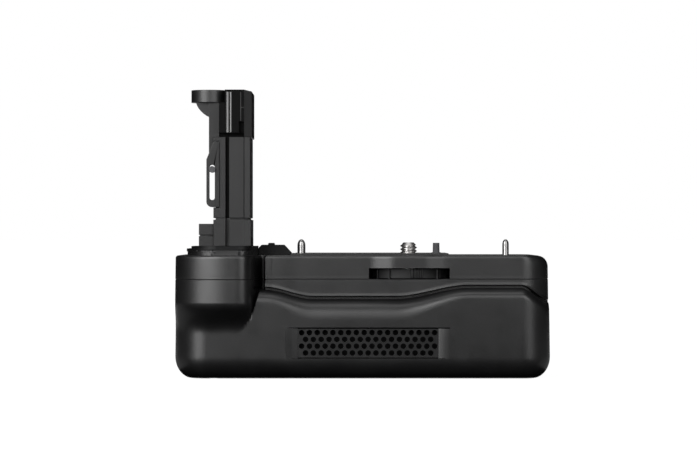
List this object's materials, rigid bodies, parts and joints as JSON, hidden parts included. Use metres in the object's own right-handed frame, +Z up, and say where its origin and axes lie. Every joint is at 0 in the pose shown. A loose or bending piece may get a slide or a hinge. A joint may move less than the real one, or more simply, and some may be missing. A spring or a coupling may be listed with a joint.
{
  "type": "camera battery grip",
  "caption": "Battery grip with a cooling fan for a camera: wide body with hand-grip bulge, battery-shaped tower, lock wheel and mounting screw, front air grille and end battery door.",
  "frame": {"origin": "middle of the bounding box, on the surface that the grip stands on", "axes": "+X to the right as seen from the front, -Y to the front, +Z up along the tower"},
  "size_m": [0.1386, 0.074, 0.1062],
  "materials": {
    "shell_black": "fine grained matte",
    "grille_black": "matte",
    "soft_black": "soft matte",
    "wheel_black": "satin",
    "tower_grey": "satin",
    "head_black": "semi gloss",
    "bright_steel": "polished",
    "dark_metal": "satin",
    "plain_steel": "brushed",
    "inner_black": "moulded",
    "inner_pale": "moulded",
    "contact_gold": "plated",
    "motor_copper": "wound",
    "board_green": "solder mask",
    "filter_mesh": "fine mesh"
  },
  "bodies": {
    "grip": {"lower_housing": "shell_black", "upper_housing": "shell_black", "front_grille": "grille_black", "top_pad": "soft_black", "air_nozzle": "soft_black", "tower_collar": "soft_black", "tower_base": "tower_grey", "tower_side_block": "tower_grey", "tower_left_shell": "tower_grey", "tower_right_shell": "tower_grey", "slotted_ear": "tower_grey", "tower_head": "head_black", "head_disc": "head_black", "tower_spine": "head_black", "locating_pin_left": "bright_steel", "locating_pin_right": "bright_steel", "door_hinge_pin": "bright_steel", "catch_pin": "bright_steel", "catch_spring": "bright_steel", "index_pin": "dark_metal", "housing_screws": "dark_metal", "lock_bracket": "plain_steel", "bracket_screws": "plain_steel", "board_screws": "plain_steel", "blower_screws": "plain_steel", "tripod_bush": "plain_steel", "battery_tray": "inner_black", "blower_housing": "inner_black", "blower_cover": "inner_black", "air_duct": "inner_black", "terminal_block": "inner_pale", "board_connector": "inner_pale", "battery_contacts": "contact_gold", "tower_contacts": "contact_gold", "fan_bearing": "contact_gold", "fan_motor": "motor_copper", "main_board": "board_green", "dust_filter": "filter_mesh"},
    "wheel": {"lock_wheel": "wheel_black", "mount_screw": "bright_steel"},
    "fan": {"fan_rotor": "inner_black"},
    "door": {"battery_door": "shell_black"},
    "latch": {"door_latch": "wheel_black"},
    "catch": {"battery_catch": "inner_pale"},
    "slider": {"slot_pin": "dark_metal"}
  },
  "joints": [
    {"name": "lock_wheel_turn", "type": "hinge", "parent": "grip", "child": "wheel", "pos_m": [0.0172, -0.0085, 0.0386], "axis": [0, 0, 1], "continuous": true},
    {"name": "fan_spin", "type": "hinge", "parent": "grip", "child": "fan", "pos_m": [-0.0151, 0.0097, 0.01], "axis": [0, 0, 1], "continuous": true},
    {"name": "door_swing", "type": "hinge", "parent": "grip", "child": "door", "pos_m": [0.0677, 0.0296, 0.018], "axis": [0, 0, 1], "range_deg": [0, 95]},
    {"name": "latch_slide", "type": "slide", "parent": "door", "child": "latch", "axis": [0, -1, 0], "range_m": [0, 0.0025]},
    {"name": "catch_turn", "type": "hinge", "parent": "grip", "child": "catch", "pos_m": [0.05, -0.01485, 0.0103], "axis": [0, 0, -1], "range_deg": [0, 8], "stiffness_Nm_per_rad": 0.05, "springref_deg": -5.73, "deforming": ["catch_spring"]},
    {"name": "slot_pin_slide", "type": "slide", "parent": "grip", "child": "slider", "axis": [0, 0, -1], "range_m": [0, 0.01]}
  ]
}
